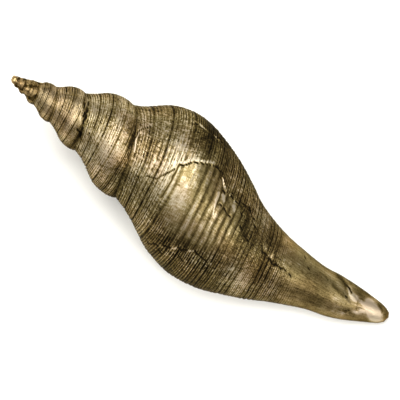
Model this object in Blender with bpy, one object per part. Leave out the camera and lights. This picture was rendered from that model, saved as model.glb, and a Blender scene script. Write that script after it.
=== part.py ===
"""A long spindle-shaped sea snail shell in aged bronze, lying on its mouth with its back up.

The shell is one coiled tube. Its outer face is drawn as a whorl profile, from one suture to the next, that turns
about the coil axis and grows with it. The last whorl runs on over the base into the open canal. The mouth is the
space between the last whorl's wall and the turn before it, and it goes on inwards for a third of a turn.
Angles are growth angles in degrees: 0 is the middle of the back, 90 the side of the outer lip, -90 the other side.
"""

import bmesh
import bpy
import numpy as np
from mathutils import Matrix

MM = 0.001

# Coil: the suture is a spiral on a cone, whose point is a little above the blunt tip of the shell
SUTURE_X = 48.4 * MM  # from the cone's point to the suture, along the axis, at growth angle -90
SUTURE_SLOPE = 0.325  # radius of the suture over that distance
GROWTH_X = 1.62  # growth of the distances in one turn
GROWTH_R = 1.60  # growth of the radii in one turn
TIP_X = 1.6 * MM  # from the cone's point to the tip of the shell
TIP_SWELL = 1.1 * MM  # what the first whorls are thicker than the cone
TIP_FADE = 5 * MM

# Whorl profile between two sutures: share of the way down, and radius over the suture's radius
WHORL = [(0, 1), (0.12, 1.07), (0.27, 1.23), (0.38, 1.37), (0.49, 1.5), (0.62, 1.585), (0.8, 1.64), (1, GROWTH_R)]

# Base and canal below the last whorl, in mm: distance along the axis and radius, at the angles -90 and 90
BASE = [
    ((87.0, 23.0), (108.6, 29.0)),
    ((95.1, 20.9), (118.2, 24.2)),
    ((103.2, 17.9), (126.6, 20.0)),
    ((111.2, 14.5), (134.6, 16.0)),
    ((120.9, 12.2), (141.9, 13.4)),
    ((133.0, 10.3), (149.9, 10.8)),
    ((146.7, 8.1), (158.0, 9.3)),
    ((159.6, 8.1), (166.0, 7.5)),
    ((170.9, 5.6), (173.3, 5.7)),
    ((177.3, 3.5), (178.1, 4.1)),
    ((180.3, 1.9), (180.3, 2.5)),
]

# The canal leaves the coil axis towards the lip's side
EARLY_BEND_FROM = 36 * MM
EARLY_BEND_LENGTH = 24 * MM
EARLY_BEND = 0.7 * MM
BEND_FROM = 76.5 * MM
BEND_LENGTH = 60.5 * MM
BEND = 9.3 * MM
BEND_BACK_FROM = 158 * MM
BEND_BACK = 3 * MM
END_X = 181.2 * MM

# Mouth and canal opening
LIP = 120  # growth angle of the outer lip's edge
MOUTH_DEPTH = 80  # degrees that the hollow goes in behind the lip
WALL = 2.2 * MM
WALL_SHARE = 0.3  # thickest wall, as a share of the radius
LIP_EDGE = 0.45  # thickness of the lip's edge, as a share of the wall
LIP_TAPER = 25  # degrees over which the wall thins towards the edge
COLUMELLA = 0.5  # radius of the canal's curled inner side, as a share of its outer side's
CURL_FROM, CURL_TO = -100, -230

# Growth lines, and so the lip, lead in the middle of the whorl and trail on the base, in degrees
LEAD = 6
TRAIL = 8
TRAIL_ROWS = 12

# Mesh: columns stand round the coil, and rows follow points of the profile, counted from the suture
STEP = 10  # degrees between columns
COLUMNS = 241
WHORL_ROWS = [0, 1, 2, 2.75, 3.5, 4.25, 5, 6, 7]
BASE_ROWS = [7 + k / 2 for k in range(1, 23)]
ROOF_ROW = 2  # the hollow's roof joins the wall at this row
FLOOR_ROW = 8  # and the turn before it at this one

# How the shell lies: its chord along X, then rolled and pitched on to its lip, its underside and its canal
CHORD_YAW = 2.0
REST_ROLL = -1.17
REST_PITCH = 10.37

BRONZE = (0.19, 0.14, 0.068, 1)


def smooth(x):
    """Smooth step from 0 at 0 to 1 at 1."""
    x = np.clip(x, 0, 1)
    return x * x * (3 - 2 * x)


def knots(angle):
    """The profile's points at growth angles: their distances along the axis and their radii, suture first."""
    turn = (angle + 90) / 360
    suture = SUTURE_X * GROWTH_X**turn
    radius = SUTURE_X * SUTURE_SLOPE * GROWTH_R**turn
    xs = [suture * (1 + share * (GROWTH_X - 1)) for share, _ in WHORL]
    rs = [radius * ratio for _, ratio in WHORL]
    side = 0.5 + angle / 180
    curl = 1 - (1 - COLUMELLA) * smooth((CURL_FROM - angle) / (CURL_FROM - CURL_TO))
    for row, (upper, lower) in enumerate(BASE):
        share = smooth((row + 1) / 6)
        xs.append(upper[0] * MM * (lower[0] / upper[0]) ** side)
        rs.append(upper[1] * MM * (lower[1] / upper[1]) ** side * (1 - share + share * curl))
    return np.array(xs), np.array(rs)


def profile(angle, row):
    """Distances along the axis and radii at growth angles and rows: a smooth curve through the points."""
    angle, row = np.broadcast_arrays(np.asarray(angle, float), np.asarray(row, float))
    angle, row = angle.ravel(), row.ravel()
    points = np.stack(knots(angle))
    last = points.shape[1] - 1
    first = np.clip(np.floor(row).astype(int), 0, last - 1)
    t = row - first
    at = np.arange(len(row))
    a, b = points[:, first, at], points[:, first + 1, at]
    before = np.where(first > 0, points[:, np.maximum(first - 1, 0), at], 2 * a - b)
    after = np.where(first + 1 < last, points[:, np.minimum(first + 2, last), at], 2 * b - a)
    leaving, arriving = (b - before) / 2, (after - a) / 2
    x, r = (
        (2 * t**3 - 3 * t**2 + 1) * a
        + (t**3 - 2 * t**2 + t) * leaving
        + (3 * t**2 - 2 * t**3) * b
        + (t**3 - t**2) * arriving
    )
    return x, r + TIP_SWELL * np.exp((TIP_X - x) / TIP_FADE)


def lead(row):
    """How far the growth line runs ahead of its angle at the suture, at these rows."""
    row = np.asarray(row, float)
    seam = len(WHORL) - 1
    on_whorl = LEAD * np.sin(np.pi * row / seam) ** 2
    on_base = TRAIL * np.sin(np.pi * (row - seam) / TRAIL_ROWS) ** 2
    return np.where(row < seam, on_whorl, -on_base)


def place(x, r, angle):
    """Points at distances along the axis, radii and angles, as rows of x, y and z, before the shell is laid down."""
    bend = EARLY_BEND * smooth((x - EARLY_BEND_FROM) / EARLY_BEND_LENGTH)
    bend = bend + BEND * smooth((x - BEND_FROM) / BEND_LENGTH)
    bend = bend - BEND_BACK * smooth((x - BEND_BACK_FROM) / (END_X - BEND_BACK_FROM))
    turned = np.radians(angle)
    return np.stack([x, -bend - r * np.sin(turned), r * np.cos(turned)], axis=-1)


def wall(angle, r):
    """Thickness of the last whorl's wall, measured along the radius."""
    taper = LIP_EDGE + (1 - LIP_EDGE) * smooth((LIP - angle) / LIP_TAPER)
    return np.minimum(WALL, WALL_SHARE * r) * taper


def build_shell():
    """The whole shell as one closed mesh: outer face, lip, hollow and the end of the canal."""
    rows = WHORL_ROWS + BASE_ROWS
    angles = LIP - STEP * (COLUMNS - np.arange(COLUMNS + 1))
    turn = 360 // STEP
    mouth = MOUTH_DEPTH // STEP
    last, seam = len(rows) - 1, len(WHORL_ROWS) - 1
    roof, floor = rows.index(ROOF_ROW), rows.index(FLOOR_ROW)
    mesh = bmesh.new()

    def column(j, wanted, inside=False):
        """Vertices of one column, by row."""
        values = [rows[i] for i in wanted]
        turned = angles[j] + lead(values)
        x, r = profile(turned, values)
        if inside:
            r = r - wall(angles[j], r)
        return {i: mesh.verts.new(co) for i, co in zip(wanted, place(x, r, turned))}

    outer = []
    for j in range(COLUMNS + 1):
        wanted = list(range(seam + 1))
        if j >= COLUMNS - turn:
            wanted = list(range(last + 1))
        elif j >= COLUMNS - turn - mouth:
            wanted += range(floor, last + 1)
        if j >= turn:
            wanted.remove(0)
        outer.append(column(j, wanted))
    for j in range(turn, COLUMNS + 1):
        outer[j][0] = outer[j - turn][seam]
    inner = {j: column(j, range(roof, last + 1), True) for j in range(COLUMNS - mouth, COLUMNS + 1)}

    def band(left, right, wanted):
        """Faces between two columns, from each wanted row to the next."""
        for i in wanted:
            mesh.faces.new([left[i], left[i + 1], right[i + 1], right[i]])

    for j in range(COLUMNS):
        band(outer[j], outer[j + 1], range(seam))
        if j >= COLUMNS - turn:
            band(outer[j], outer[j + 1], range(seam, last))
        elif j >= COLUMNS - turn - mouth:
            band(outer[j], outer[j + 1], range(floor, last))
        if j >= COLUMNS - mouth:
            band(inner[j + 1], inner[j], range(roof, last))
            before, after = outer[j - turn][floor], outer[j + 1 - turn][floor]
            mesh.faces.new([inner[j][roof], inner[j + 1][roof], after, before])

    tip = mesh.verts.new(place(np.array(TIP_X), np.array(0.0), 0))
    ring = [outer[j][0] for j in range(turn + 1)] + [outer[0][i] for i in range(seam - 1, 0, -1)]
    for here, there in zip(ring, ring[1:] + ring[:1]):
        mesh.faces.new([tip, here, there])

    lip, start, back = outer[COLUMNS], outer[COLUMNS - turn], inner[COLUMNS]
    band(back, lip, range(roof, last))
    corner = [lip[i] for i in range(roof + 1)] + [back[roof], start[floor]]
    for here, there in zip(corner, corner[1:]):
        mesh.faces.new([start[seam + 1], here, there])
    first = COLUMNS - mouth
    deep, core = inner[first], outer[first - turn]
    band(core, deep, range(floor, last))
    mesh.faces.new([core[floor]] + [deep[i] for i in range(floor, roof - 1, -1)])

    end = mesh.verts.new(place(np.array(END_X), np.array(0.0), 0))
    for j in range(first - turn, first - 1):
        mesh.faces.new([end, outer[j][last], outer[j + 1][last]])
    edge = [outer[first][last], deep[last], core[last], end]
    for here, there in zip(edge, edge[1:]):
        mesh.faces.new([outer[first - 1][last], here, there])
    for j in range(first, COLUMNS):
        mesh.faces.new([outer[j][last], outer[j + 1][last], inner[j + 1][last], inner[j][last]])
    return mesh


def add_shell():
    """The shell as an object, with its faces triangulated, outward and smooth."""
    mesh = build_shell()
    bmesh.ops.triangulate(mesh, faces=mesh.faces[:], ngon_method="EAR_CLIP")
    bmesh.ops.recalc_face_normals(mesh, faces=mesh.faces[:])
    lying = (
        Matrix.Rotation(np.radians(REST_PITCH), 4, "Y")
        @ Matrix.Rotation(np.radians(REST_ROLL), 4, "X")
        @ Matrix.Rotation(np.radians(CHORD_YAW), 4, "Z")
    )
    bmesh.ops.transform(mesh, matrix=lying, verts=mesh.verts[:])
    places = np.array([vert.co for vert in mesh.verts])
    low, high = places.min(axis=0), places.max(axis=0)
    middle = (low + high) / 2
    bmesh.ops.translate(mesh, verts=mesh.verts[:], vec=(-middle[0], -middle[1], -low[2]))
    data = bpy.data.meshes.new("shell")
    mesh.to_mesh(data)
    mesh.free()
    data.shade_smooth()
    material = bpy.data.materials.new("aged bronze")
    material.use_nodes = True
    shader = material.node_tree.nodes["Principled BSDF"]
    shader.inputs["Base Color"].default_value = BRONZE
    shader.inputs["Metallic"].default_value = 1
    shader.inputs["Roughness"].default_value = 0.4
    data.materials.append(material)
    bpy.context.scene.collection.objects.link(bpy.data.objects.new("shell", data))


for thing in list(bpy.data.objects):
    bpy.data.objects.remove(thing)
add_shell()
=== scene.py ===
"""A long spindle-shaped sea snail shell in aged bronze, lying on its mouth with its back up, in a studio.

Angles are growth angles in degrees, as the shell coils: 0 is the middle of the back, 90 the side of the
outer lip and -90 the other side. Rows count the points of the whorl's profile from one suture to the next,
and on over the base to the end of the canal. Heights and depths of the relief are in mm.
"""

import math

import bmesh
import bpy
import numpy as np
from mathutils import Matrix, Vector


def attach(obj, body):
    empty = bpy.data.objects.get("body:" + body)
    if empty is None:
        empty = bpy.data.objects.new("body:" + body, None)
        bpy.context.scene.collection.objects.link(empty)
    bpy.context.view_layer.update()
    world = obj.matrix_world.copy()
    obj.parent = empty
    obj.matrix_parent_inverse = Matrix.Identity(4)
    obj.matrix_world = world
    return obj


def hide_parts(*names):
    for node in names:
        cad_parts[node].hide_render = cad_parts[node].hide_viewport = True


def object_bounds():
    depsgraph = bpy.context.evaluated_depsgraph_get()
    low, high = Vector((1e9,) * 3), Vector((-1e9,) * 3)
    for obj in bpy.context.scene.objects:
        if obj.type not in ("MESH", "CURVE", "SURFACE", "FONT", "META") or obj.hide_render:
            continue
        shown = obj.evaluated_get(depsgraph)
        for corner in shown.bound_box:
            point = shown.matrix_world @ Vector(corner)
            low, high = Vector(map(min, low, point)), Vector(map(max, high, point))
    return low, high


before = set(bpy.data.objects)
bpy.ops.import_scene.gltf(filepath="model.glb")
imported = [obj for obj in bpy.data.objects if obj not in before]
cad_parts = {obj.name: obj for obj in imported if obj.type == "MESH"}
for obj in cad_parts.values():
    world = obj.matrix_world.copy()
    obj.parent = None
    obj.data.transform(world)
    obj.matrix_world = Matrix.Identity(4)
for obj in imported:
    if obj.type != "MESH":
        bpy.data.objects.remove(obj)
cad_box = [list(corner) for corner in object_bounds()]

# The shell
# One coiled tube of seven whorls that runs out into a long open canal, cast in bronze from a real sea snail
# shell or plated over one, so each cord, crack and chip is there in metal. Its skin is one closed surface.

MM = 0.001

SUTURE_X = 48.4  # mm along the axis from the cone's point to the suture, at growth angle -90
SUTURE_SLOPE = 0.325  # radius of the suture over that distance
GROWTH_X = 1.62  # growth of the distances in one turn
GROWTH_R = 1.60  # growth of the radii in one turn
TIP_X = 1.6  # mm from the cone's point to the very tip
TIP_SWELL = 1.1  # mm that the tip is rounder than the cone
TIP_FADE = 5  # mm over which that fades
WHORL = [  # share of the way to the next suture, and radius over the suture's
    (0, 1), (0.12, 1.07), (0.27, 1.23), (0.38, 1.37), (0.49, 1.5), (0.62, 1.585), (0.8, 1.64), (1, GROWTH_R),
]
BASE = [  # distance along the axis and radius, at growth angle -90 and at 90
    ((87.0, 23.0), (108.6, 29.0)),
    ((95.1, 20.9), (118.2, 24.2)),
    ((103.2, 17.9), (126.6, 20.0)),
    ((111.2, 14.5), (134.6, 16.0)),
    ((120.9, 12.2), (141.9, 13.4)),
    ((133.0, 10.3), (149.9, 10.8)),
    ((146.7, 8.1), (158.0, 9.3)),
    ((159.6, 8.1), (166.0, 7.5)),
    ((170.9, 5.6), (173.3, 5.7)),
    ((177.3, 3.5), (178.1, 4.1)),
    ((180.3, 1.9), (180.3, 2.5)),
]
SEAM = len(WHORL) - 1
LAST = SEAM + len(BASE)
LIP = 120  # growth angle of the outer lip's edge
WALL = 2.2  # mm
WALL_SHARE = 0.3  # of the radius that the wall takes at most
LIP_SHARE, LIP_TAPER = 0.45, 25  # share of the wall left at the lip's edge, and degrees over which it thins
CURL, CURL_FROM, CURL_OVER = 0.5, -100, 130  # share of its radius the canal's inner side loses, and where
LEAD, LAG, LAG_ROWS = 6, 8, 12  # degrees that growth lines run ahead on the whorl and behind on the base
BENDS = [(0.7, 36, 24), (9.3, 76.5, 60.5), (-3, 158, 23.2)]  # mm the axis bends, from where, over how far
MOUTH_DEPTH = 80  # degrees that the hollow goes in behind the lip
ROOF_ROW = 2  # where the hollow's roof starts on the last turn
FLOOR_ROW = 8  # where it ends on the turn before
CONE_POINT = Vector((-89.974, 2.371, 34.723))  # where the laid shell's coil starts, in the frame, in mm
TIP_SPOT = (-88.4009, 2.4265, 34.4345)  # the tip and the end of the canal, in the frame, in mm
END_SPOT = (88.4009, 1.6988, 2.0961)


def smooth(x):
    """Smooth step from 0 at 0 to 1 at 1."""
    x = np.clip(x, 0, 1)
    return x * x * (3 - 2 * x)


def knots(angle):
    """The profile's points at growth angles: distances along the axis and radii, from the suture on."""
    turn = (angle + 90) / 360
    suture = SUTURE_X * GROWTH_X**turn
    radius = SUTURE_X * SUTURE_SLOPE * GROWTH_R**turn
    xs = [suture * (1 + share * (GROWTH_X - 1)) for share, _ in WHORL]
    rs = [radius * ratio for _, ratio in WHORL]
    side = 0.5 + angle / 180
    curl = 1 - CURL * smooth((CURL_FROM - angle) / CURL_OVER)
    for row, (upper, lower) in enumerate(BASE):
        share = smooth((row + 1) / 6)
        xs.append(upper[0] * (lower[0] / upper[0]) ** side)
        rs.append(upper[1] * (lower[1] / upper[1]) ** side * (1 - share + share * curl))
    return np.array(xs), np.array(rs)


def profile(angle, row):
    """Distances along the axis and radii at growth angles and rows: a smooth curve through the points."""
    points = np.stack(knots(angle))
    first = np.clip(np.floor(row).astype(int), 0, LAST - 1)
    t = row - first
    at = np.arange(len(row))
    a, b = points[:, first, at], points[:, first + 1, at]
    before = np.where(first > 0, points[:, np.maximum(first - 1, 0), at], 2 * a - b)
    after = np.where(first + 1 < LAST, points[:, np.minimum(first + 2, LAST), at], 2 * b - a)
    leaving, arriving = (b - before) / 2, (after - a) / 2
    x, r = (
        (2 * t**3 - 3 * t**2 + 1) * a
        + (t**3 - 2 * t**2 + t) * leaving
        + (3 * t**2 - 2 * t**3) * b
        + (t**3 - t**2) * arriving
    )
    return x, r + TIP_SWELL * np.exp((TIP_X - x) / TIP_FADE)


def lead(row):
    """How far the growth line runs ahead of its angle at the suture, or behind it below 0."""
    on_whorl = LEAD * np.sin(np.pi * row / SEAM) ** 2
    on_base = LAG * np.sin(np.pi * (row - SEAM) / LAG_ROWS) ** 2
    return np.where(row < SEAM, on_whorl, -on_base)


# How the shell lies on its mouth: its axis sinks towards the canal, and it is rolled and turned a little
LAY_DOWN = (
    Matrix.Rotation(math.radians(10.37), 3, "Y")
    @ Matrix.Rotation(math.radians(-1.17), 3, "X")
    @ Matrix.Rotation(math.radians(2.0), 3, "Z")
)


def place(x, r, angle):
    """Points at distances along the axis, radii and angles, as rows of x, y and z of the frame, in mm."""
    bend = sum(much * smooth((x - begin) / reach) for much, begin, reach in BENDS)
    turned = np.radians(angle)
    spots = np.stack([x, -bend - r * np.sin(turned), r * np.cos(turned)], axis=-1)
    return spots @ np.array(LAY_DOWN).T + np.array(CONE_POINT)


def wall(angle, r):
    """Thickness of the last whorl's wall, thinner towards the lip's edge."""
    share = LIP_SHARE + (1 - LIP_SHARE) * smooth((LIP - angle) / LIP_TAPER)
    return np.minimum(WALL, WALL_SHARE * r) * share


# The skin's lattice: cells are split until they are as fine as the surface there needs
COLUMN = 0.625  # degrees between the closest columns
ROW = 1 / 64  # of the way between two points of the profile, between the closest rows
COLUMNS = 3856  # from the tip to the lip
TURN = round(360 / COLUMN)
MOUTH = round(MOUTH_DEPTH / COLUMN)
PER_ROW = round(1 / ROW)
ROOT = 16  # columns of a cell before it is split
CELL_WIDE, CELL_WIDE_BELOW, CELL_HIGH = 0.88, 1.75, 0.43  # mm, on the last whorl
HOLLOW_WIDE, HOLLOW_HIGH = 2.4, 1.2
CANAL_WIDER, CANAL_HIGHER = 0.6, 1.1  # what the cells of the smooth canal gain


def spots_of(column, row, inside=False):
    """Points of the skin at lattice places."""
    level = row * ROW
    angle = LIP - (COLUMNS - column) * COLUMN
    turned = angle + lead(level)
    x, r = profile(turned, level)
    if inside:
        r = r - wall(angle, r)
    return place(x, r, turned)


def split(cells, inside=False):
    """Cells halved along the side that is longer than it should be there, until none is."""
    done = []
    while len(cells):
        column, row, width, height = cells.T
        left = spots_of(column, row + height / 2, inside)
        right = spots_of(column + width, row + height / 2, inside)
        top = spots_of(column + width / 2, row, inside)
        foot = spots_of(column + width / 2, row + height, inside)
        middle = (left + right) / 2
        wide, high = wanted(middle, column + width / 2, row + height / 2, inside)
        too_wide = (np.linalg.norm(right - left, axis=1) > wide) & (width > 1)
        too_high = (np.linalg.norm(foot - top, axis=1) > high) & (height > 1)
        across = too_wide & (~too_high | (width * 4 >= height))
        down = too_high & ~across
        done.append(cells[~across & ~down])
        halves = cells[across] // [1, 1, 2, 1]
        others = halves + halves[:, [2]] * [1, 0, 0, 0]
        low_halves = cells[down] // [1, 1, 1, 2]
        low_others = low_halves + low_halves[:, [3]] * [0, 1, 0, 0]
        cells = np.concatenate([halves, others, low_halves, low_others])
    return np.concatenate(done).tolist()


def wanted(spots, column, row, inside):
    """How wide and how high a cell may be at places of the skin, in mm: smaller where the whorl is small."""
    level = row * ROW
    angle = LIP - (COLUMNS - column) * COLUMN
    size = np.clip(GROWTH_X ** (angle / 360), 0.05, 1)
    if inside:
        return np.full(len(spots), HOLLOW_WIDE), np.full(len(spots), HOLLOW_HIGH)
    above = np.cos(np.radians(angle)) > -0.15
    wide = np.where(above, CELL_WIDE, CELL_WIDE_BELOW) * size**0.3
    high = CELL_HIGH * size**0.35
    canal = smooth((level - 11.5) / 1.5)
    return wide * (1 + CANAL_WIDER * canal), high * (1 + CANAL_HIGHER * canal)


def roots(first, last, top, foot):
    """The whole cells between two columns and two rows."""
    columns = np.arange(first, last, ROOT)
    rows = np.arange(top, foot, PER_ROW)
    grid = np.stack(np.meshgrid(columns, rows), axis=-1).reshape(-1, 2)
    return np.hstack([grid, np.full((len(grid), 1), ROOT), np.full((len(grid), 1), PER_ROW)])


seam_row, last_row = SEAM * PER_ROW, LAST * PER_ROW
roof_row, floor_row = ROOF_ROW * PER_ROW, FLOOR_ROW * PER_ROW
start = COLUMNS - TURN  # where the last turn starts
deep = COLUMNS - MOUTH  # where the hollow ends
outer_cells = split(roots(0, COLUMNS, 0, seam_row))
outer_cells += split(roots(start, COLUMNS, seam_row, last_row))
outer_cells += split(roots(start - MOUTH, start, floor_row, last_row))
inner_cells = split(roots(deep, COLUMNS, roof_row, last_row), True)


def known_as(place):
    """A lattice place's own name: the foot of one turn is the suture of the next."""
    column, row = place
    return (column + TURN, 0) if row == seam_row and column <= start else place


spots, lattice, faces = [], [], []  # the skin's points, each one's column, row and side, and its faces
outer, inner = {}, {}  # the points that stand at lattice places, on the outside and in the hollow


def add_point(spot, column, row, inside=False):
    """A new point of the skin, by its number."""
    spots.append(tuple(spot))
    lattice.append((column, row, inside))
    return len(spots) - 1


def add_places(places, book, inside):
    """Points at lattice places that have none yet."""
    places = sorted(set(places) - set(book))
    at = np.array(places, float)
    for key, spot in zip(places, spots_of(at[:, 0], at[:, 1], inside)):
        book[key] = add_point(spot, *key, inside)


def fill(cells, book, name):
    """One face for each cell, through every point on its rim."""
    for column, row, width, height in cells:
        rim = [(column + i, row) for i in range(width)]
        rim += [(column + width, row + i) for i in range(height)]
        rim += [(column + width - i, row + height) for i in range(width)]
        rim += [(column, row + height - i) for i in range(height)]
        faces.append([book[key] for key in map(name, rim) if key in book])


def itself(place):
    """A lattice place in the hollow, where no two places are one."""
    return place


def corners(cells):
    """The lattice places at the corners of cells."""
    for column, row, width, height in cells:
        yield from ((column + i, row + j) for i in (0, width) for j in (0, height))


def bridge(first, second, first_at, second_at):
    """Triangles between two lines of points, each with its own spacing, by their places along them."""
    i, j = 0, 0
    while i < len(first) - 1 or j < len(second) - 1:
        if j == len(second) - 1 or (i < len(first) - 1 and first_at[i + 1] <= second_at[j + 1]):
            faces.append([first[i], second[j], first[i + 1]])
            i += 1
        else:
            faces.append([first[i], second[j], second[j + 1]])
            j += 1


def quads(this, that):
    """Faces between two lines of as many points."""
    for i in range(len(this) - 1):
        faces.append([this[i], this[i + 1], that[i + 1], that[i]])


add_places(map(known_as, corners(outer_cells)), outer, False)
lip_rows = sorted(row for column, row in outer if column == COLUMNS and row >= roof_row)
add_places([(COLUMNS, row) for row in lip_rows] + list(corners(inner_cells)), inner, True)
fill(outer_cells, outer, known_as)
fill(inner_cells, inner, itself)

# The lip's rim is rounded over from the outside to the inside
RIM_STEPS = 4
RIM_REACH = 0.8  # how far the rounding reaches ahead, over half the wall's thickness
at_lip = np.full(len(lip_rows), float(COLUMNS))
rows_there = np.array(lip_rows, float)
front, rear = spots_of(at_lip, rows_there), spots_of(at_lip, rows_there, True)
ahead = spots_of(at_lip + 1, rows_there) - front
ahead = ahead / np.linalg.norm(ahead, axis=1)[:, None]
half = (front - rear) / 2
thickness = np.linalg.norm(half, axis=1)[:, None]
rim = [[outer[COLUMNS, row] for row in lip_rows]]
for step in range(1, RIM_STEPS):
    turned = math.pi * step / RIM_STEPS
    line = (front + rear) / 2 + half * math.cos(turned) + ahead * thickness * RIM_REACH * math.sin(turned)
    rim.append([add_point(spot, COLUMNS, row, True) for spot, row in zip(line, lip_rows)])
rim.append([inner[COLUMNS, row] for row in lip_rows])
for this, that in zip(rim, rim[1:]):
    quads(this, that)

# The hollow's roof curves from the inside of the wall over to the turn before
ROOF_STEPS = 4
roof_columns = sorted(column for column, row in inner if row == roof_row)
floor_columns = sorted(column for column, row in outer if row == floor_row and column <= start)
along = np.array(roof_columns, float)
top = spots_of(along, np.full(len(along), float(roof_row)), True)
over = top - spots_of(along, np.full(len(along), roof_row + PER_ROW / 2), True)
foot = spots_of(along - TURN, np.full(len(along), float(floor_row)))
under = foot - spots_of(along - TURN, np.full(len(along), floor_row + PER_ROW / 4))
roof = [[inner[column, roof_row] for column in roof_columns]]
for step in range(1, ROOF_STEPS):
    t = step / ROOF_STEPS
    line = (1 - t) ** 3 * top + t**3 * foot
    line += 3 * t * (1 - t) ** 2 * (top + over / 2) + 3 * t**2 * (1 - t) * (foot + under / 2)
    roof.append([add_point(spot, column, roof_row, True) for spot, column in zip(line, roof_columns)])
for this, that in zip(roof, roof[1:]):
    quads(this, that)
floor_line = [outer[column, floor_row] for column in floor_columns]
bridge(roof[-1], floor_line, roof_columns, [column + TURN for column in floor_columns])


def down(book, column, first, last):
    """Rows with points in a column, from one row to another."""
    return sorted(row for c, row in book if c == column and first <= row <= last)


# The wedge between the lip and the turn before ends in a plain face
loop = [outer[COLUMNS, row] for row in down(outer, COLUMNS, 0, roof_row)]
loop += [line[0] for line in rim[1:]]
loop += [line[-1] for line in roof[1:]]
loop += [outer[start, row] for row in down(outer, start, seam_row, floor_row)[::-1]]
middle = add_point(np.mean([spots[i] for i in loop], axis=0), COLUMNS, seam_row, True)
for this, that in zip(loop, loop[1:] + loop[:1]):
    faces.append([middle, this, that])

# The hollow's deep end
deep_rows = down(inner, deep, roof_row, last_row)
core_rows = down(outer, start - MOUTH, floor_row, last_row)
ends = [line[0] for line in roof[1:]]
end_rows = [roof_row + (floor_row - roof_row) * step / ROOF_STEPS for step in range(1, ROOF_STEPS)]
bridge(
    [inner[deep, row] for row in deep_rows],
    ends + [outer[start - MOUTH, row] for row in core_rows],
    deep_rows,
    end_rows + core_rows,
)

# The rounded end of the canal
END_X = 181.2  # mm from the cone's point
tail = add_point(place(np.array([END_X]), np.array([0.0]), np.array([0.0]))[0], COLUMNS, last_row)
end_columns = sorted(column for column, row in outer if row == last_row)
CAP_TO = deep - ROOT
cap = [outer[column, last_row] for column in end_columns if column <= CAP_TO]
for this, that in zip(cap, cap[1:]):
    faces.append([tail, this, that])
wedge = [outer[column, last_row] for column in end_columns if CAP_TO <= column <= deep]
faces.append([tail] + wedge + [inner[deep, last_row], cap[0]])
wall_outside = [column for column in end_columns if column >= deep]
wall_inside = sorted(column for column, row in inner if row == last_row)
bridge(
    [outer[column, last_row] for column in wall_outside],
    [inner[column, last_row] for column in wall_inside],
    wall_outside,
    wall_inside,
)
faces.append([line[-1] for line in rim])

# The rounded tip
TIP_STEPS = 4
edge = [(column, 0) for column in sorted(column for column, row in outer if row == 0 and column <= TURN)]
edge += [(0, row) for row in down(outer, 0, 1, seam_row - 1)[::-1]]
at = np.array(edge, float)
turned = LIP - (COLUMNS - at[:, 0]) * COLUMN + lead(at[:, 1] * ROW)
x, r = profile(turned, at[:, 1] * ROW)
rings = [[outer[key] for key in edge]]
for step in range(1, TIP_STEPS):
    u = math.pi / 2 * step / TIP_STEPS
    ring = place(x + (TIP_X - x) * math.sin(u), r * math.cos(u), turned)
    rings.append([add_point(spot, *key) for spot, key in zip(ring, edge)])
tip = add_point(place(np.array([TIP_X]), np.array([0.0]), np.array([0.0]))[0], 0, 0)
for this, that in zip(rings, rings[1:]):
    quads(this + this[:1], that + that[:1])
for this, that in zip(rings[-1], rings[-1][1:] + rings[-1][:1]):
    faces.append([tip, this, that])

# The plain skin, whose normals the relief follows
shell_mesh = bpy.data.meshes.new("shell_skin")
shell_mesh.from_pydata(np.array(spots) * MM, [], faces)
work = bmesh.new()
work.from_mesh(shell_mesh)
bmesh.ops.recalc_face_normals(work, faces=work.faces[:])
work.to_mesh(shell_mesh)
work.free()
shell_mesh.shade_smooth()
count = len(spots)
spots = np.array(spots)
normals = np.zeros(count * 3)
shell_mesh.vertices.foreach_get("normal", normals)
normals = normals.reshape(-1, 3)
lattice = np.array(lattice, float)
level = lattice[:, 1] * ROW
column_angle = LIP - (COLUMNS - lattice[:, 0]) * COLUMN
outside = lattice[:, 2] == 0
angle = column_angle + lead(level)


STEP = 0.16  # of a turn, over which half of the step from one turn to the next is made


def rounding(x):
    """Whole turns, with a soft step on the underside from one to the next."""
    whole = np.floor(x + 0.5)
    part = x + 0.5 - whole
    return whole - 0.5 * (1 - smooth(part / STEP)) + 0.5 * smooth((part - 1 + STEP) / STEP)


def hashed(numbers, seed):
    """Steady random numbers from 0 to 1, one for each whole number."""
    mixed = np.sin((numbers + seed * 17.31) * 12.9898) * 43758.5453
    return mixed - np.floor(mixed)


def wave(x, seed):
    """Smooth random wave along a line, from -1 to 1, with a bump about every 1."""
    first = np.floor(x)
    a, b = hashed(first, seed), hashed(first + 1, seed)
    return 2 * (a + (b - a) * smooth(x - first)) - 1


def cloud(places, grain, seed):
    """Smooth random field in space, from -1 to 1, with lumps about a grain wide."""
    at = places / grain + seed * 7.7
    first = np.floor(at)
    t = smooth(at - first)
    total = 0
    for corner in np.ndindex(2, 2, 2):
        number = ((first + corner) * [1, 57, 113]).sum(axis=1)
        share = np.where(corner, t, 1 - t).prod(axis=1)
        total = total + share * hashed(number, seed)
    return 2 * total - 1


# How far each point is down the profile from its suture, and up from the next one, in mm
TABLE_ANGLE, TABLE_ROW = 8, 1 / 8
table_angles = np.arange(column_angle.min() - 16, LIP + 24, TABLE_ANGLE)
table_rows = np.arange(0, LAST + TABLE_ROW / 2, TABLE_ROW)
grid_angle, grid_row = np.meshgrid(table_angles, table_rows, indexing="ij")
x, r = profile(grid_angle.ravel(), grid_row.ravel())
steps = np.hypot(*(np.diff(part.reshape(grid_angle.shape), axis=1) for part in (x, r)))
lengths = np.pad(np.cumsum(steps, axis=1), ((0, 0), (1, 0)))


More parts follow.
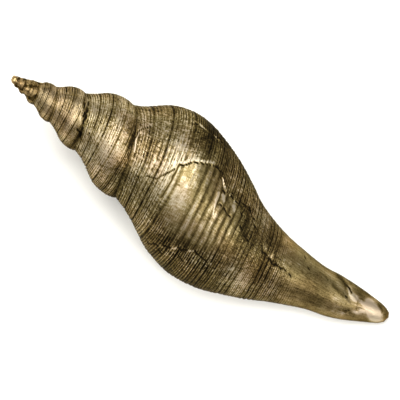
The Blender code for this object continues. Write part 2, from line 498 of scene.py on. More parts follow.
def length_at(angles, rows):
    """Length of the profile from the suture to rows, at growth angles."""
    i = (angles - table_angles[0]) / TABLE_ANGLE
    j = rows / TABLE_ROW
    i0, j0 = np.floor(i).astype(int), np.minimum(np.floor(j).astype(int), len(table_rows) - 2)
    u, v = i - i0, j - j0
    upper = lengths[i0, j0] * (1 - v) + lengths[i0, j0 + 1] * v
    lower = lengths[i0 + 1, j0] * (1 - v) + lengths[i0 + 1, j0 + 1] * v
    return upper * (1 - u) + lower * u


NO_SUTURE = 99  # mm to the next suture on the last turn, which has none below it
below_suture = length_at(angle, level)
to_next = np.abs(length_at(angle, np.full(count, float(SEAM))) - below_suture)
above_suture = np.where(column_angle <= LIP - 360, to_next, NO_SUTURE)

# The turn of the coil that each point is on, and the size of the whorl, 1 in the middle of the last one's
# back. step_size and suture_here hold still through a turn and step on its underside.
turns = rounding(angle / 360)
size = GROWTH_X ** np.minimum(angle / 360, 0.2)
step_size = GROWTH_X ** turns
suture = SUTURE_X * GROWTH_X ** ((angle + 90) / 360)
suture_here = SUTURE_X * GROWTH_X ** (turns + 0.25)

# Spiral cords: parallel to the suture close to it, and nearly square to the axis further down
CORD = 2.3  # mm between cords on the last whorl's shoulder
FINE_CORD, FINE_FROM, FINE_OVER = 2.1, 20, 12  # below its widest part: spacing, from where, and over how far
BASE_CORD, BASE_FROM, BASE_OVER = 1.8, 48, 14  # on the base
CORD_TILT, TILT_OVER = 0.45, 16  # how much the cords leave the suture's course, and within how many mm
CORD_GROWTH = 0.75  # power of the whorl's size that the spacing follows
LINE_FROM, LINE_TO, LINE_STEP = -40, 220, 0.25  # mm over which the spacing is added up
tilt = CORD_TILT * smooth(below_suture / (TILT_OVER * size))
cord_line = (below_suture + tilt * (suture - suture_here)) / step_size**CORD_GROWTH
line_at = np.arange(LINE_FROM, LINE_TO, LINE_STEP)
spacing = CORD + (FINE_CORD - CORD) * smooth((line_at - FINE_FROM) / FINE_OVER)
spacing = spacing + (BASE_CORD - FINE_CORD) * smooth((line_at - BASE_FROM) / BASE_OVER)
phase = np.interp(cord_line, line_at, np.cumsum(LINE_STEP / spacing))
phase = phase + 0.3 * wave(phase / 2.3, 26) + 0.12 * cloud(spots, 14, 1) + 0.05 * cloud(spots, 5, 2)

# A groove between each two cords, of its own depth and breadth, and a finer one along each cord's back
number = np.round(phase)
off = phase - number
depth_of = 0.4 + 0.6 * hashed(number, 3)
breadth = hashed(number, 4)
narrow = 0.12 + 0.1 * breadth
grooves = depth_of * np.exp(-((off / narrow) ** 2))
FINE_BREADTH = 0.11  # of the way between two cords
half_number = np.floor(phase)
half_off = phase - half_number - 0.5 - 0.12 * (hashed(half_number, 5) - 0.5)
threads = np.clip(1.3 * hashed(half_number, 6) - 0.35, 0, 1) * np.exp(-((half_off / FINE_BREADTH) ** 2))

# The photograph's pixels at each point, seen from above
PIXEL = 0.39584  # mm of the shell to a pixel of the photograph
TURN_OF_VIEW = math.radians(32.19)
RIGHT = np.array([math.cos(TURN_OF_VIEW), math.sin(TURN_OF_VIEW), 0])
UP = np.array([-math.sin(TURN_OF_VIEW), math.cos(TURN_OF_VIEW), 0])
TIP_PIXEL = np.array([12.0, 78.5])
WANDER = 0.9  # pixels that a ragged line strays from its course


def on_photo(places):
    """Where places of the frame, in mm, are in the photograph, in pixels to the right and down."""
    moved = (places - np.array(TIP_SPOT)) / PIXEL
    return TIP_PIXEL + np.stack([moved @ RIGHT, -(moved @ UP)], axis=-1)


pixels = on_photo(spots)
ragged = pixels + WANDER * np.stack([cloud(spots, 1.6, 7), cloud(spots, 1.6, 8)], axis=-1)
on_back = smooth((normals[:, 2] + 0.1) / 0.25) * outside


def near(line, at=ragged):
    """Distances in mm from a line of the photograph's pixels, and the side, above 0 to its left."""
    best = np.full(count, 1e9)
    side = np.zeros(count)
    line = np.array(line, float)
    for a, b in zip(line, line[1:]):
        way = b - a
        t = np.clip(((at - a) @ way) / (way @ way), 0, 1)
        away = at - a - t[:, None] * way
        distance = np.hypot(away[:, 0], away[:, 1])
        closer = distance < best
        best = np.where(closer, distance, best)
        side = np.where(closer, np.sign(way[1] * away[:, 0] - way[0] * away[:, 1]), side)
    return best * PIXEL, side


def along_line(line, width, at=ragged):
    """1 on a line of the back, and 0 well over a width away from it, in mm."""
    return np.exp(-((near(line, at)[0] / width) ** 2)) * on_back


def round_place(right, down, reach):
    """1 in the middle of a round place of the back, and 0 well over its reach away, in pixels."""
    away = np.hypot(pixels[:, 0] - right, pixels[:, 1] - down) / reach
    return np.exp(-(away**2)) * on_back


# The smooth plate on the widest part, where the outer layer has broken away, with the broad soft cords of
# the layer under it. All the lines on the back are courses in the photograph's pixels.
PLATE_CORD = 3.2  # mm between the broad cords
PLATE_DEPTH = 0.4  # mm that it lies below the outer layer, between two broad cords
PLATE_SWELL = 0.3  # mm that a broad cord stands above the deepest place between two
PLATE_PIXEL, PLATE_REACH = (203, 205), (44, 50)  # its middle, and how far it reaches right and down
ABOVE_BREAK = 5  # pixels that it may reach above the break's left end
SMOOTH_BAND = [(196, 160), (190, 180), (178, 205), (168, 225)]
BREAK = [(179, 165), (184, 165), (189, 164), (194, 162), (199, 163), (205, 164), (211, 165), (216, 166)]
PLATE_LEFT = [(161, 197), (168.8, 185.5), (175, 173), (179, 165)]
PLATE_RIGHT = [(216, 166), (221, 169), (224, 180), (227, 193), (240, 207), (262, 240), (265, 249)]
broad = cord_line / PLATE_CORD + 0.1 * cloud(spots, 9, 22)
broad_number = np.floor(broad)
swell = np.sin(np.pi * (broad - broad_number)) ** 1.3 * (0.45 + 0.75 * hashed(broad_number, 23))
swell = np.maximum(swell, 0.62 * smooth((5 - near(SMOOTH_BAND, pixels)[0]) / 2.5))
plate_side = near(PLATE_LEFT + BREAK[1:] + PLATE_RIGHT[1:])[1]
across_plate = (pixels - PLATE_PIXEL) / PLATE_REACH
on_plate = (plate_side < 0) & (pixels[:, 1] > BREAK[0][1] - ABOVE_BREAK)
plate = on_plate * (1 - smooth((np.hypot(across_plate[:, 0], across_plate[:, 1]) - 0.7) / 0.5)) * on_back

# Cracks: the course of each, its width and its depth in mm
OLD_CRACK = [(156.6, 179.3), (161.5, 176.3), (167.6, 173.2), (174, 169)]
CRACKS = [
    ([(147.4, 175.7)] + OLD_CRACK, 0.22, 0.2),
    (BREAK, 0.22, 0.36),
    (PLATE_LEFT, 0.45, 0.12),
    ([(216, 166), (219, 168), (221, 171)], 0.3, 0.35),
    ([(221, 176), (224, 186)], 0.25, 0.2),
    ([(240, 201), (247, 207), (251, 213), (255, 221)], 0.22, 0.35),
    ([(135, 141), (139, 131.5), (145, 127.5), (152, 126)], 0.2, 0.22),
    ([(196, 122), (198, 123.5)], 0.3, 0.4),
    ([(200, 126), (203, 129), (210, 131), (213, 135)], 0.2, 0.25),
    ([(218, 137), (221, 140), (223.5, 142.5)], 0.25, 0.45),
    ([(262, 243), (263, 251), (268, 255), (273, 263), (283, 268.5), (291, 275.5)], 0.18, 0.26),
    ([(263.5, 252), (266.5, 254)], 0.45, 0.3),
    ([(270, 258), (272, 263), (275, 265)], 0.45, 0.3),
    ([(276, 263.5), (277.5, 266)], 0.4, 0.3),
    ([(281, 269), (284, 269)], 0.3, 0.3),
    ([(289, 273), (291, 277)], 0.25, 0.25),
    ([(305, 256), (306, 258)], 0.25, 0.25),
    ([(308, 268), (310, 269)], 0.2, 0.25),
    ([(86, 103), (85, 108)], 0.25, 0.35),
    ([(86, 112), (84.5, 117)], 0.3, 0.35),
    ([(84.5, 120), (84, 124)], 0.25, 0.35),
    ([(78, 130), (81, 133), (80, 139)], 0.3, 0.35),
    ([(146, 239), (149, 243.5), (155, 244), (158, 246)], 0.35, 0.3),
    ([(163, 246), (169.5, 248)], 0.4, 0.35),
    ([(178, 248), (182, 250.5), (187, 250)], 0.4, 0.35),
    ([(195, 251), (198, 255), (202, 258)], 0.3, 0.35),
    ([(202.5, 259), (207.5, 263)], 0.25, 0.25),
    ([(214, 262), (222, 264)], 0.2, 0.2),
    ([(158, 249), (162, 254)], 0.3, 0.3),
    ([(179, 257), (183, 262)], 0.3, 0.25),
    ([(348, 285), (350, 289), (352, 293)], 0.2, 0.3),
    ([(343, 292), (348, 298)], 0.18, 0.25),
    ([(361, 291.5), (362, 293)], 0.25, 0.3),
]

# Deep pits in the broken ground to the right of the plate: where each starts and ends
PIT_WIDTH, PIT_DEPTH = 0.25, 0.38
PITS = [
    ((231, 195.5), (234, 199)), ((235.5, 201), (239, 204)), ((224.5, 208), (227, 213)),
    ((219, 204), (222, 207)), ((241, 213), (243.5, 216)), ((249, 206.5), (251, 212)),
    ((240.5, 225), (243, 231)), ((248, 217.5), (250, 221)), ((254, 225), (256.5, 228.5)),
    ((228, 215), (230, 217.5)), ((224, 190), (225.5, 194)), ((245, 236), (248, 241)),
]
CRACKS += [(pit, PIT_WIDTH, PIT_DEPTH) for pit in PITS]

# Broken edges, whose left side stands higher: the course of each, its height and how far it fades, in mm
LOW_BREAK = [
    (146, 239), (149, 243.5), (155, 242), (160, 246), (166, 245), (169, 250), (176, 247.5),
    (181, 252), (189, 250), (196, 256), (205, 257), (211, 262), (224, 263.5),
]
SCAR_EDGE = [
    (131, 153.7), (133.3, 141.5), (138.2, 130.5), (144.3, 125.6), (151.7, 124.3), (156.6, 121.3), (164, 117),
]
LEDGES = [
    ([(138, 178), (147, 176), (157, 179)] + OLD_CRACK[1:] + BREAK, 0.2, 3.0),
    (SCAR_EDGE, 0.15, 1.2),
    (LOW_BREAK, 0.22, 1.5),
]

# Soft folds of the base and canal, a scar and a ridge on the plate: the course of each, its width and its
# height in mm, below 0 where it is sunk
SCAR = [(135, 150), (136.5, 138), (141, 130), (147, 126.5), (153, 124.5)]
PLATE_RIDGE = [(219, 193), (216, 203), (213, 214)]
CANAL_GROOVE = [(337, 310), (345, 311.5), (356, 310.5), (362, 309.5)]
FOLDS = [
    ([(333, 273), (341, 283), (347, 292), (351, 301), (358, 308)], 0.8, -0.35),
    ([(338, 272), (346, 281), (352, 291), (356, 299), (362, 306)], 0.6, 0.3),
    ([(343, 274), (350, 283), (355, 291), (360, 299)], 0.6, -0.3),
    ([(330, 279), (337, 288), (343, 296), (349, 304)], 0.7, 0.2),
    (CANAL_GROOVE, 0.35, -0.3),
    ([(340, 307), (352, 307.5), (364, 305), (372, 302)], 0.8, 0.25),
    ([(215, 285), (240, 286), (262, 290), (300, 298), (330, 307)], 0.9, -0.25),
    ([(352, 281), (364, 291), (376, 303), (387, 311)], 0.8, 0.25),
    (SCAR, 0.4, 0.25),
    (PLATE_RIDGE, 0.5, 0.25),
]
DARK_DEPTH = 0.2  # mm, from which a crack is all dark at its bottom
relief = np.zeros(count)
cracks = np.zeros(count)
for course, width, depth in CRACKS:
    cut = along_line(course, width)
    relief -= depth * cut
    cracks = np.maximum(cracks, np.minimum(1, cut * depth / DARK_DEPTH))
for course, height, fade in LEDGES:
    distance, side = near(course)
    relief += np.where(side > 0, height, 0) * np.exp(-distance / fade) * on_back
for course, width, height in FOLDS:
    relief += height * along_line(course, width, pixels)

# The cords, growth lines and lumps of the surface: lower on the small whorls, and the cords nearly gone on
# the canal and the plate
CORD_DEPTH, FINE_DEPTH, GROWTH_HEIGHT = 0.45, 0.55, 0.05  # mm, share of that in the finer grooves, and mm
LUMP, DENT, GRAIN = 7, 1.9, 0.9  # mm wide
LUMP_HEIGHT, DENT_HEIGHT, GRAIN_HEIGHT = 0.12, 0.05, 0.04
CANAL_ROW = 11.1  # of the profile, where the smooth canal starts
on_canal = smooth((level - CANAL_ROW) / 1.8)
low_on_small = size**0.5 * outside
cord_depth = CORD_DEPTH * low_on_small * (1 - 0.9 * on_canal) * (1 - 0.9 * plate)
cord_depth = cord_depth * (1 + 0.4 * cloud(spots, 5, 9))
beads = 1 + 0.45 * wave(column_angle / 1.6 + 1.3 * cloud(spots, 3, 21), 14) * (1 - plate)
growth = wave(column_angle / 1.1, 11) * 0.5 + wave(column_angle / 2.9, 12) + wave(column_angle / 9, 13) * 0.7
coarse, fine = cloud(spots, LUMP, 15), cloud(spots, DENT, 16)
lumps = LUMP_HEIGHT * coarse + DENT_HEIGHT * fine + GRAIN_HEIGHT * cloud(spots, GRAIN, 19)
relief -= cord_depth * (grooves * beads + FINE_DEPTH * threads * (1 - plate))
relief += GROWTH_HEIGHT * growth * (1 - 0.6 * plate) * low_on_small
relief += lumps * low_on_small
relief -= (PLATE_DEPTH - PLATE_SWELL * swell) * plate

# The suture is cut in raggedly, and most deeply where it is torn, above the last turn but one. The first
# whorls have nodules instead.
NOTCH, NOTCH_DEPTH = 0.55, 0.2  # mm across and deep, on a whorl of size 1
DIP, DIP_DEPTH = 2.2, 0.25  # the wider dip around it
TORN_DEPTH, TORN_REACH = 0.3, 1.7  # more where it is torn, up to so many mm from the line
TORN = [(87, 96), (86.5, 114), (84, 128), (80, 140)]
NODULE = 0.3  # mm high
past_tip = smooth((spots[:, 0] + 84) / 5)  # 0 on the first whorls
at_tip = smooth((-74 - spots[:, 0]) / 4)  # 1 on them
whorled = outside * (level <= SEAM)
suture_near = np.clip(np.minimum(below_suture, above_suture) + 0.3 * cloud(spots, 1.2, 17) * size, 0, 9)
notch = np.exp(-((suture_near / (NOTCH * size**0.5)) ** 2)) * whorled
dip = np.exp(-((suture_near / (DIP * size)) ** 2)) * whorled * past_tip
torn = smooth((TORN_REACH - near(TORN)[0]) / 1.2) * on_back * smooth((cloud(spots, 1.3, 24) + 0.35) / 0.5)
nodules = cloud(spots, 1.2, 25)
relief += NODULE * nodules * at_tip
relief -= (NOTCH_DEPTH * size**0.6 + TORN_DEPTH * torn) * notch * past_tip + DIP_DEPTH * dip * size

HIGHEST = 0.1  # mm that a place may stand above the plain skin
SUNK = 0.12  # mm that all is sunk, so that the highest cords stay within the solid's reach
INNER_LUMPS, INNER_SUNK = 0.02, 0.03  # mm, in the hollow
relief = np.minimum(relief, HIGHEST) - SUNK
relief = np.where(outside, relief, INNER_LUMPS * cloud(spots, 3, 18) - INNER_SUNK)
spots = spots + normals * relief[:, None]
BOX_GAP = 0.02  # mm that the skin stays inside the solid's box
spots = np.clip(spots, np.array(cad_box[0]) / MM + BOX_GAP, np.array(cad_box[1]) / MM - BOX_GAP)
shell_mesh.vertices.foreach_set("co", (spots * MM).ravel())
shell_mesh.update()

# How strong the dark lines between the cords are: more on the steep sides and the underside of the base, and
# less in round places of the back where they are worn faint, each with its middle, its reach and the share
# that is gone
FAINT = [
    (165, 116, 24, 0.6), (128, 112, 16, 0.4), (231, 247, 13, 0.8), (246, 272, 20, 0.6), (262, 250, 9, 0.6),
    (100, 105, 12, 0.3),
]
lower_side = smooth((angle + 10) / 60) * smooth((level - 3.5) / 1.5) * smooth((angle + 300) / 60)
low_light = np.maximum(lower_side, smooth((0.75 - normals[:, 2]) / 0.4))
small = smooth((0.75 - size) / 0.5)
strength = (0.65 + 0.65 * low_light + 0.4 * small) * (1 - 0.95 * on_canal) * (1 - 0.92 * plate) * outside
for right, down, reach, gone in FAINT:
    strength = strength * (1 - gone * round_place(right, down, reach))
groove = np.minimum(depth_of + 0.25 * small, 1) * beads * strength
thread = np.clip(1.3 * hashed(half_number, 6) + 0.1 + 0.7 * low_light + 0.6 * small, 0, 1) * strength

# Recesses that no cloth reaches: between the plate's broad cords, in the suture and between the nodules
recess = 0.42 * plate * (1 - swell) ** 2
recess = np.maximum(recess, np.clip((0.08 + 0.6 * torn) * notch, 0, 1) * past_tip)
recess = np.maximum(recess, 0.5 * smooth((-0.2 - nodules) / 0.4) * at_tip)

# Edges and backs that are rubbed bright, partly wear and partly painted highlight and glint, and after them
# hollows, valleys and grounds that are darker, partly dark patina and partly painted shade: the course of
# each, its width in mm, and how much darker it is, below 0 for brighter
STAINS_AND_PAINTED_LIGHT = [
    (SCAR, 0.35, -0.6),
    ([(177, 163), (183, 162.5), (188, 162), (194, 159.5), (205, 161.5), (214, 163)], 0.5, -0.6),
    ([(223.6, 178.4), (225.4, 188.2)], 0.25, -0.9),
    (PLATE_RIDGE, 0.45, -0.5),
    ([(196, 121), (203, 127), (209, 131)], 0.25, -0.8),
    ([(213, 134), (218, 138), (223, 142)], 0.25, -0.8),
    ([(223, 195), (224.5, 201)], 0.6, -0.4),
    ([(230, 194.3), (231, 194.8)], 0.3, -0.7),
    ([(233, 203), (235, 210)], 0.9, -0.35),
    ([(159, 247), (161, 246.5)], 0.5, -0.8),
    ([(172, 248.7), (175.5, 248)], 0.35, -0.9),
    ([(82, 105), (82.5, 110)], 0.3, -0.5),
    ([(81, 117), (81, 122)], 0.3, -0.5),
    ([(88.5, 99), (88, 106)], 0.3, -0.4),
    ([(188, 251), (193, 251)], 0.35, -0.6),
    ([(209, 264), (211, 264)], 0.35, -0.7),
    ([(228, 270), (233, 269)], 0.35, -0.7),
    ([(265, 245), (266, 250)], 0.9, -0.3),
    ([(270, 255), (273, 258)], 0.6, -0.35),
    ([(349, 288), (352, 295), (355, 299)], 0.6, -0.9),
    ([(357, 297), (363, 304)], 0.4, -0.6),
    ([(370, 304), (373, 310), (376, 315)], 1.9, -1.25),
    ([(343, 313.5), (352, 313), (363, 312)], 0.6, -0.3),
    ([(176, 184), (182, 187)], 0.3, 0.4),
    ([(379, 304), (382, 311), (381, 316)], 0.4, 0.25),
    ([(383, 304), (388, 312), (388, 320)], 1.5, 0.2),
    (CANAL_GROOVE, 0.3, 0.25),
    ([(222, 172), (229, 190), (241, 203), (247, 215), (245, 234)], 1.6, 0.18),
    ([(131, 125), (131, 145), (128, 165), (120, 185)], 1.5, 0.1),
    ([(280, 287), (310, 300), (330, 307)], 3.0, 0.12),
    ([(150, 236), (165, 240), (185, 243), (200, 249)], 2.0, 0.16),
    ([(352, 281), (364, 291), (376, 303)], 0.8, 0.2),
    ([(338, 274), (346, 284), (350, 292)], 0.7, 0.4),
    ([(333, 285), (343, 296)], 0.5, 0.3),
    ([(356, 289), (363, 298), (367, 303)], 0.9, 0.2),
    ([(346, 313), (356, 317), (366, 320)], 1.6, 0.25),
    ([(362, 290), (372, 298), (381, 306)], 1.5, 0.12),
    ([(366, 303), (369, 310), (374, 317)], 0.3, 0.3),
]

# Round patches of the back, each with its middle, its reach and how much darker it is, below 0 for brighter.
# The darker ones are partly patina and partly painted shade towards the contours, and the brighter ones are
# painted highlights.
PATCHES_AND_PAINTED_LIGHT = [
    (132, 192, 15, 0.2), (162, 235, 22, 0.15), (243, 228, 16, 0.08), (212, 134, 20, 0.45),
    (190, 270, 26, 0.16), (152, 145, 15, 0.17), (152, 112, 12, 0.1), (175, 118, 20, 0.15),
    (155, 210, 14, 0.13), (262, 245, 18, 0.28), (320, 298, 14, 0.14), (300, 282, 22, 0.15),
    (320, 272, 16, 0.06), (260, 274, 16, 0.22), (110, 120, 16, 0.14), (125, 157, 10, -0.12),
    (53, 100, 10, -0.1), (20, 86, 9, -0.12), (186, 172, 9, 0.14), (230, 250, 14, 0.08),
    (232, 165, 12, 0.1), (218, 284, 18, 0.1),
]
AGED = 0.16  # darkness of the finish before all that, where 0 is plain clean metal and 1 is black
BRIGHTEST = -0.4
IN_HOLLOW = 0.6
# Steep sides that turn away from the lamps: patina, and darker as painted shade
patina_and_shade_on_sides = smooth((0.72 - normals[:, 2]) / 0.8)
# Backs of the widest part that face up: worn, and made lighter as a painted highlight
rubbed_and_lit_backs = np.exp(-(((level - 4) / 1.8) ** 2)) * smooth((normals[:, 2] - 0.72) / 0.25)
banded = (1 + 1.2 * small) * (1 - on_canal) * (1 - plate) * outside
# The finish's darkness: tarnish, patina and wear, with painted highlights and painted shade added in
tarnish_and_painted_light = np.full(count, AGED)
for much, there in (
    (-0.14, rubbed_and_lit_backs),  # the widest part's back, where it faces up, is rubbed most and carries a painted highlight
    (0.34, patina_and_shade_on_sides),  # the steep sides least: darker with patina and painted shade
    (-0.12, low_light),  # where the dark lines are stronger the ground is lighter
    (0.06, small),
    (0.03, on_canal),
    (-0.02, plate),
    (0.15, dip),
    (0.06, coarse),
    (0.08, fine),
    (0.14, wave(phase, 31) * banded),  # bands along one cord, and along three
    (0.1, wave(phase / 3.3, 32) * banded),
):
    tarnish_and_painted_light += much * there
# Lines made brighter and darker: wear and stains, with painted highlights and painted shade
for course, width, much in STAINS_AND_PAINTED_LIGHT:
    tarnish_and_painted_light += much * along_line(course, width)
# Round patches: patina and painted shade where darker, painted highlights where brighter
for right, down, reach, much in PATCHES_AND_PAINTED_LIGHT:
    tarnish_and_painted_light += much * round_place(right, down, reach)
tarnish_and_painted_light = np.clip(np.where(outside, tarnish_and_painted_light, IN_HOLLOW), BRIGHTEST, 1)

# Where the metal is more golden: the tip, the very end of the canal, the small whorls and a few round places
WARM = [
    (122, 162, 10, 0.6), (84, 140, 6, 0.5), (295, 238, 14, 0.4), (232, 250, 13, 0.35),
    (256, 268, 18, 0.45),
]
gold = np.maximum(smooth((-73 - spots[:, 0]) / 5), 0.8 * smooth((spots[:, 0] - 86.6) / 1.2))
gold = np.maximum(gold, 0.55 * small)
for right, down, reach, share in WARM:
    gold = np.maximum(gold, share * round_place(right, down, reach))

fields = {
    "recess": recess * outside,
    "tarnish_and_painted_light": tarnish_and_painted_light,
    "cracks": cracks,
    "gold": gold,
    "groove": groove,
    "thread": thread,
    "canal": on_canal,
    "calm": np.maximum(np.maximum(small, 0.9 * on_canal), 0.9 * plate),  # where pits and specks are faint
    "even": np.maximum(plate, 0.5 * on_canal),  # where the gloss is less uneven
}
for name, values in fields.items():
    layer = shell_mesh.attributes.new(name, "FLOAT", "POINT")
    layer.data.foreach_set("value", values)

# The way of the cords for the finish: cords counted across, and mm along the coil
RUN = 325  # mm along the coil from its start to growth angle 0
run = RUN * GROWTH_X ** (column_angle / 360)
layer = shell_mesh.attributes.new("way", "FLOAT_VECTOR", "POINT")
layer.data.foreach_set("vector", np.stack([phase, run, breadth], axis=-1).ravel())

shell = bpy.data.objects.new("shell_skin", shell_mesh)
bpy.context.scene.collection.objects.link(shell)


def srgb(code):
    """A colour as the renderer takes it, from its sRGB hex value."""
    parts = [int(code[i:i + 2], 16) / 255 for i in (1, 3, 5)]
    return [p / 12.92 if p <= 0.04045 else ((p + 0.055) / 1.055) ** 2.4 for p in parts] + [1]


# Bronze with a brown patina, rubbed bright where hands and cloth reach, with painted highlights and painted
# shade in its tone as well: a warm metal whose gloss is broad on the cords' backs, and a dark, dull brown
# skin of oxides in the grooves
bronze = bpy.data.materials.new("aged_bronze")
bronze.use_nodes = True
tree = bronze.node_tree
tree.nodes.clear()


def add(kind, inputs=None, output=0, **settings):
    """A node's output, by its settings and its inputs, each of them a value or the output of another node.

    By number, inputs 1 to 4 of a Map Range are the two ends of what comes in and the two of what goes out.
    Of a Mix, input 0 is its share, and 2 and 3, or 6 and 7 for colours, are what it mixes.
    """
    node = tree.nodes.new(kind)
    for name, value in settings.items():
        setattr(node, name, value)
    for name, value in (inputs or {}).items():
        if isinstance(value, bpy.types.NodeSocket):
            tree.links.new(value, node.inputs[name])
        else:
            node.inputs[name].default_value = value
    return node.outputs[output]


where = add("ShaderNodeTexCoord", output="Object")
way = add("ShaderNodeAttribute", output="Vector", attribute_name="way")
cord = add("ShaderNodeSeparateXYZ", {"Vector": way}, "X")
breadth_here = cord.node.outputs["Z"]
here = {name: add("ShaderNodeAttribute", output="Fac", attribute_name=name) for name in fields}

# Noise stretched along the coil: specks 0.4 mm wide and 2 mm long, on the canal 1 mm wide and 10 mm long,
# growth lines that cross a cord or two, and stretches 5 mm long in which the lines are clear or faint
speckled = {"Scale": 1.0, "Detail": 3.0, "Roughness": 0.6}
along_cords = add("ShaderNodeVectorMath", {0: way, 1: (6, 0.5, 0)}, operation="MULTIPLY")
cord_streaks = add("ShaderNodeTexNoise", {"Vector": along_cords, **speckled})
along_canal = add("ShaderNodeVectorMath", {0: way, 1: (0.2, 0.9, 0)}, operation="MULTIPLY")
canal_streaks = add("ShaderNodeTexNoise", {"Vector": along_canal, **speckled})
streaks = add("ShaderNodeMix", {0: here["canal"], 2: cord_streaks, 3: canal_streaks})
across_cords = add("ShaderNodeVectorMath", {0: way, 1: (0.8, 1.5, 0)}, operation="MULTIPLY")
breaks = add("ShaderNodeTexNoise", {"Vector": across_cords, **speckled})
along_lines = add("ShaderNodeVectorMath", {0: way, 1: (0.9, 0.2, 0)}, operation="MULTIPLY")
clearness = add("ShaderNodeTexNoise", {"Vector": along_lines, **speckled})
clear = add("ShaderNodeMapRange", {"Value": clearness, 1: 0.35, 2: 0.62, 3: 0.5, 4: 1.15})
specks = add("ShaderNodeMath", {0: streaks, 1: breaks}, operation="ADD")

# Dark lines: the main ones in the grooves, the fine ones halfway between them
from_groove = add("ShaderNodeMath", {0: cord, 1: 0.5}, operation="PINGPONG")
wander = add("ShaderNodeMath", {0: specks, 1: 0.2, 2: -0.2}, operation="MULTIPLY_ADD")
off_groove = add("ShaderNodeMath", {0: from_groove, 1: wander}, operation="ADD")
off_line = add("ShaderNodeMath", {0: breadth_here, 1: -0.13, 2: off_groove}, operation="MULTIPLY_ADD")
main_shape = add("ShaderNodeMapRange", {"Value": off_line, 1: -0.06, 2: 0.22, 3: 1.0, 4: 0.0})
main_lines = add("ShaderNodeMath", {0: main_shape, 1: here["groove"]}, operation="MULTIPLY")
fine_shape = add("ShaderNodeMapRange", {"Value": off_line, 1: 0.3, 2: 0.43, 3: 0.0, 4: 0.85})
fine_lines = add("ShaderNodeMath", {0: fine_shape, 1: here["thread"]}, operation="MULTIPLY")
both_lines = add("ShaderNodeMath", {0: main_lines, 1: fine_lines}, operation="MAXIMUM")
lines = add("ShaderNodeMath", {0: both_lines, 1: clear}, operation="MULTIPLY")

# Pits of 0.7 mm, deeper where the metal is dark, and fainter on the small whorls, the canal and the plate
grain = add("ShaderNodeTexNoise", {"Vector": where, "Scale": 1500.0, "Detail": 3.0, "Roughness": 0.7})
pit_shape = add("ShaderNodeMapRange", {"Value": grain, 1: 0.34, 2: 0.46, 3: 0.7, 4: 0.0})
pit_depth = add("ShaderNodeMath", {0: here["tarnish_and_painted_light"], 1: 0.35}, operation="ADD")
pits = add("ShaderNodeMath", {0: pit_shape, 1: pit_depth}, operation="MULTIPLY")
dirt = add("ShaderNodeMath", {0: specks, 1: -1.0}, operation="ADD")
speckle = add("ShaderNodeMath", {0: pits, 1: dirt}, operation="ADD")
speckle_share = add("ShaderNodeMapRange", {"Value": here["calm"], 1: 0.0, 2: 1.0, 3: 1.0, 4: 0.45})

# How dark the metal is, from below 0 for rubbed bright and painted highlights over 0 for clean to 1 for
# black, with painted shade among the darker values
ground = add("ShaderNodeMath", {0: here["tarnish_and_painted_light"], 1: here["recess"]}, operation="ADD")
lined = add("ShaderNodeMath", {0: lines, 1: 0.85, 2: ground}, operation="MULTIPLY_ADD")
speckled_too = add("ShaderNodeMath", {0: speckle, 1: speckle_share, 2: lined}, operation="MULTIPLY_ADD")
cracked = add("ShaderNodeMath", {0: speckled_too, 1: here["cracks"]}, operation="MAXIMUM")
dark = add("ShaderNodeMath", {0: cracked, 1: 1.0}, operation="MINIMUM")
tone_at = add("ShaderNodeMapRange", {"Value": dark, 1: BRIGHTEST, 2: 1.0, 3: 0.0, 4: 1.0})
tone = add("ShaderNodeValToRGB", {"Fac": tone_at})
ramp = tone.node.color_ramp
ramp.elements[0].color = srgb("#f5f0ea")
ramp.elements[1].color = srgb("#0a0804")
for spot, code in ((0.286, "#bdb2a0"), (0.429, "#877957"), (0.586, "#54492c"), (0.786, "#241d0f")):
    ramp.elements.new(spot).color = srgb(code)

# Brown and olive clouds 14 mm wide, and more gold on the tip and where cloth has cleaned the metal
clouds = add("ShaderNodeTexNoise", {"Vector": where, "Scale": 70.0, "Detail": 2.0, "Roughness": 0.5})
cloud_share = add("ShaderNodeMapRange", {"Value": clouds, 1: 0.4, 2: 0.6, 3: 0.0, 4: 1.0})
cloud_hue = add(
    "ShaderNodeMix", {0: cloud_share, 6: srgb("#fff6ec"), 7: srgb("#fafaf0")}, 2, data_type="RGBA"
)
cloudy = add("ShaderNodeMix", {0: 1.0, 6: tone, 7: cloud_hue}, 2, data_type="RGBA", blend_type="MULTIPLY")
golden = {0: here["gold"], 6: cloudy, 7: srgb("#ffedcc")}
colour = add("ShaderNodeMix", golden, 2, data_type="RGBA", blend_type="MULTIPLY")

# Gloss: broad on clean metal, sharper on golden metal and dull in the patina, over a fine unevenness
dullness = add("ShaderNodeMapRange", {"Value": dark, 1: BRIGHTEST, 2: 1.0, 3: 0.32, 4: 0.64})
roughness = add("ShaderNodeMath", {0: here["gold"], 1: -0.13, 2: dullness}, operation="MULTIPLY_ADD")
metallic = add("ShaderNodeMapRange", {"Value": dark, 1: 0.0, 2: 1.0, 3: 1.0, 4: 0.9})
bumps = add("ShaderNodeMath", {0: breaks, 1: grain}, operation="ADD")
more_bumps = add("ShaderNodeMath", {0: bumps, 1: 0.3, 2: streaks}, operation="MULTIPLY_ADD")
bump_share = add("ShaderNodeMapRange", {"Value": here["even"], 1: 0.0, 2: 1.0, 3: 0.8, 4: 0.12})
uneven = add("ShaderNodeMath", {0: more_bumps, 1: bump_share}, operation="MULTIPLY")
height = add("ShaderNodeMath", {0: lines, 1: -0.8, 2: uneven}, operation="MULTIPLY_ADD")
bump = add("ShaderNodeBump", {"Height": height, "Strength": 0.6, "Distance": 0.0003}, "Normal")
skin = add("ShaderNodeBsdfPrincipled", {
    "Base Color": colour,
    "Roughness": roughness,
    "Metallic": metallic,
    "Normal": bump,
    "Specular Tint": srgb("#cfc6b4"),
})
tree.links.new(skin, tree.nodes.new("ShaderNodeOutputMaterial").inputs["Surface"])
shell_mesh.materials.append(bronze)
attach(shell, "root")
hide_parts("shell")

# The studio
# A plain white table top of card under four soft boxes and a pale room, seen from straight above, as the
# photograph shows the shell.

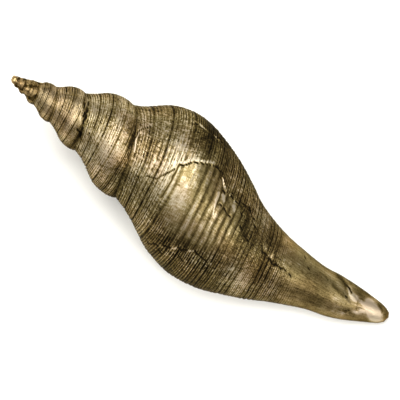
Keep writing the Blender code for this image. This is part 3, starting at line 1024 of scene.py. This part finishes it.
FAR = 6.0  # m from the table to the camera, so that near and far parts look alike in size
MEAN_HEIGHT = 18  # mm above the table, where a pixel is as large as stated
PHOTO_SIDE = 400  # pixels
OFF_CENTRE = (-0.5, -1.75)  # pixels right and up from the shell's middle to the photograph's
SENSOR = 36  # mm
middle = (np.array(TIP_SPOT) + np.array(END_SPOT)) / 2
centre = middle + PIXEL * (OFF_CENTRE[0] * RIGHT + OFF_CENTRE[1] * UP)
camera_data = bpy.data.cameras.new("camera")
camera = bpy.data.objects.new("camera", camera_data)
bpy.context.scene.collection.objects.link(camera)
bpy.context.scene.camera = camera
camera_data.sensor_width = SENSOR
camera_data.lens = SENSOR * (FAR - MEAN_HEIGHT * MM) / (PHOTO_SIDE * PIXEL * MM)
camera_data.clip_end = 20  # m, well past the table
camera.location = (centre[0] * MM, centre[1] * MM, FAR)
camera.rotation_euler = (0, 0, TURN_OF_VIEW)

HALF_TABLE = 2  # m
floor_mesh = bpy.data.meshes.new("floor")
table_corners = [(x * HALF_TABLE, y * HALF_TABLE, 0) for x, y in ((-1, -1), (1, -1), (1, 1), (-1, 1))]
floor_mesh.from_pydata(table_corners, [], [(0, 1, 2, 3)])
table = bpy.data.objects.new("floor", floor_mesh)
bpy.context.scene.collection.objects.link(table)
paper = bpy.data.materials.new("white_card")
paper.use_nodes = True
paper.node_tree.nodes["Principled BSDF"].inputs["Base Color"].default_value = srgb("#fcfcfa")
paper.node_tree.nodes["Principled BSDF"].inputs["Roughness"].default_value = 0.9
floor_mesh.materials.append(paper)

LAMP_WHITE = "#fffdf8"


def soft_box(name, right, up, height, width, power):
    """A square lamp that faces the shell, at so many m to the right, up the picture and above it."""
    data = bpy.data.lights.new(name, "AREA")
    data.size = width
    data.energy = power
    data.color = srgb(LAMP_WHITE)[:3]
    lamp = bpy.data.objects.new(name, data)
    lamp.location = Vector(right * RIGHT + up * UP + np.array([0, 0, height]))
    lamp.rotation_euler = (-lamp.location).to_track_quat("-Z", "Y").to_euler()
    bpy.context.scene.collection.objects.link(lamp)


soft_box("key", -0.05, 0.5, 1.0, 0.8, 12.5)
soft_box("top", 0.0, -0.1, 1.2, 1.6, 9)
soft_box("side", -0.9, 0.2, 0.7, 0.7, 4)
soft_box("end", 0.8, -0.55, 0.85, 0.5, 6.5)

world = bpy.data.worlds.new("studio")
bpy.context.scene.world = world
world.use_nodes = True
world.node_tree.nodes["Background"].inputs["Color"].default_value = srgb("#fffaf2")
world.node_tree.nodes["Background"].inputs["Strength"].default_value = 0.35
bpy.context.scene.view_settings.view_transform = "Standard"
